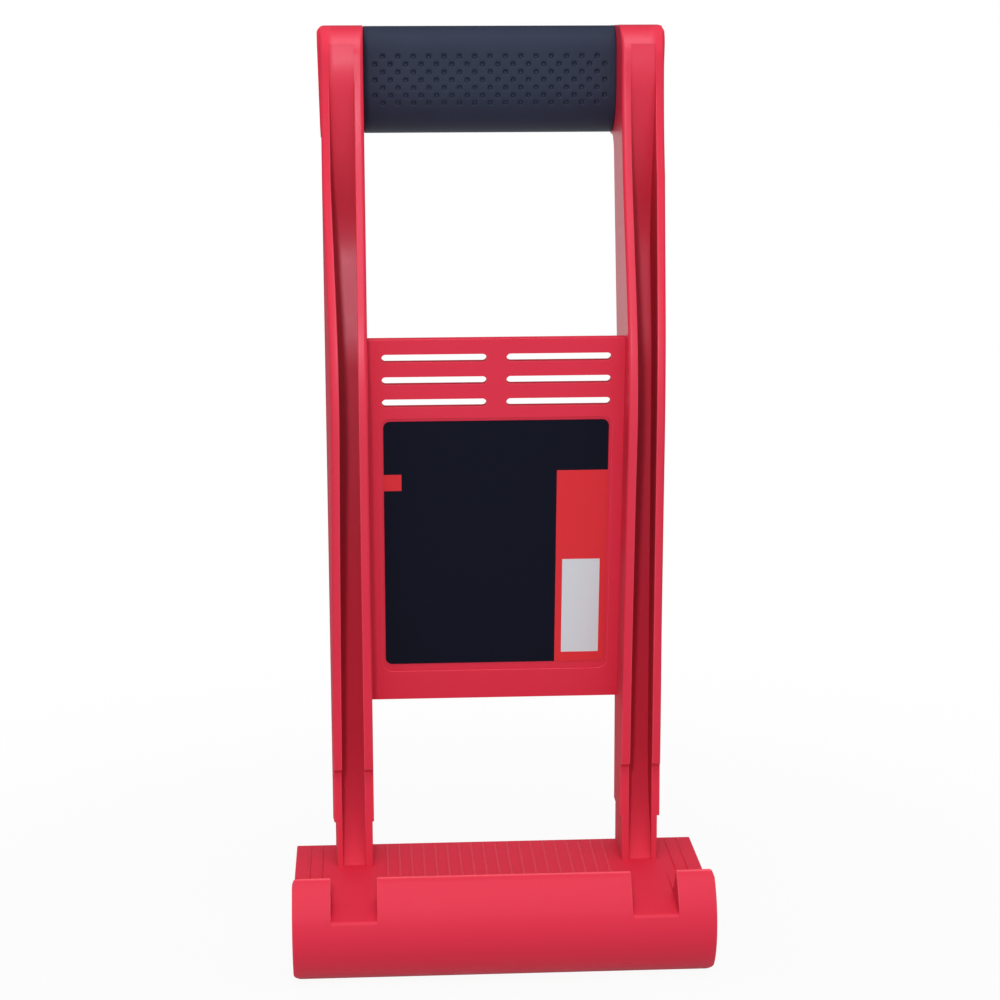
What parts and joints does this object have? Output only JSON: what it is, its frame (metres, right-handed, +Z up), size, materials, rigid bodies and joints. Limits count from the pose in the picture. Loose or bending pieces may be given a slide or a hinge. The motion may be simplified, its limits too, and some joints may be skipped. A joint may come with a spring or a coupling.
{
  "type": "panel carrier",
  "caption": "Moulded plastic carrier with a soft-gripped handle bar, channel-section uprights and a notched, ribbed tray that hooks under a sheet so one hand can lift it.",
  "frame": {"origin": "centre of the tray's underside, on the ground, midway between the uprights", "axes": "+Z up towards the handle, -Y out of the front where the lip is, +X to the right seen from the front"},
  "size_m": [0.165, 0.1257, 0.3662],
  "materials": {
    "red_abs": "satin",
    "soft_grip": "matte, dimpled",
    "label_film": "printed film"
  },
  "bodies": {
    "root": {"left_upright": "red_abs", "right_upright": "red_abs", "handle_bar": "red_abs", "centre_panel": "red_abs", "tray": "red_abs", "grip": "soft_grip", "label": "label_film"}
  },
  "joints": []
}
